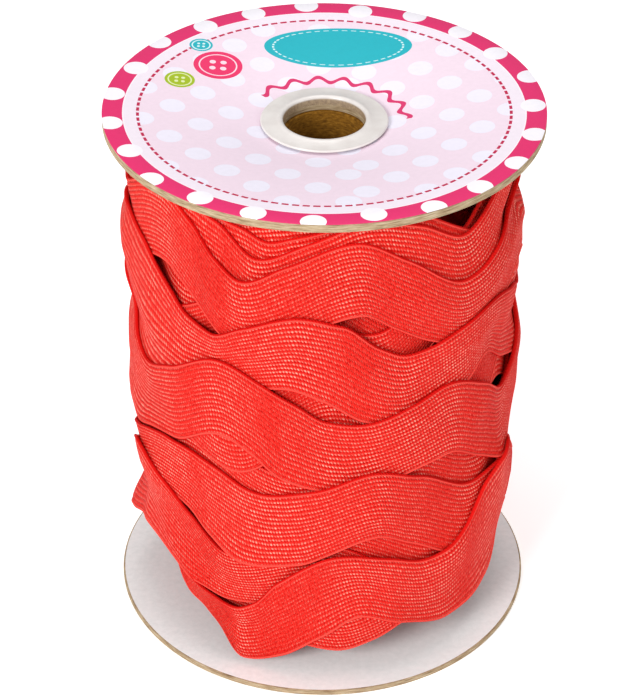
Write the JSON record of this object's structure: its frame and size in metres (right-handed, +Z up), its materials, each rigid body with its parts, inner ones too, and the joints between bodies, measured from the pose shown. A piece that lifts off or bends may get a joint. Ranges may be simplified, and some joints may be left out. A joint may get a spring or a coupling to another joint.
{
  "type": "roll of ric rac on a spool",
  "caption": "Jumbo ric rac trim wound in wavy turns on a paperboard spool with a dished, dotted top disc and a plastic centre ring.",
  "frame": {"origin": "centre of the spool's underside, on the surface that it stands on", "axes": "+Z up along the spool's axis, -Y towards the side that the picture shows, +X to its right"},
  "size_m": [0.0952, 0.0952, 0.1254],
  "materials": {
    "flange_board": "uncoated kraft paperboard, lined white on its inner face",
    "tube_board": "wound kraft tube, uncoated",
    "printed_paper": "coated paper, printed pink with white dots, satin",
    "ring_plastic": "moulded off-white plastic, semi-gloss",
    "braided_tape": "coral red braided polyester, soft sheen"
  },
  "bodies": {
    "root": {"bottom_flange": "flange_board", "core_tube": "tube_board", "top_flange": "flange_board", "top_label": "printed_paper", "hub_ring": "ring_plastic", "ric_rac_roll": "braided_tape"}
  },
  "joints": []
}
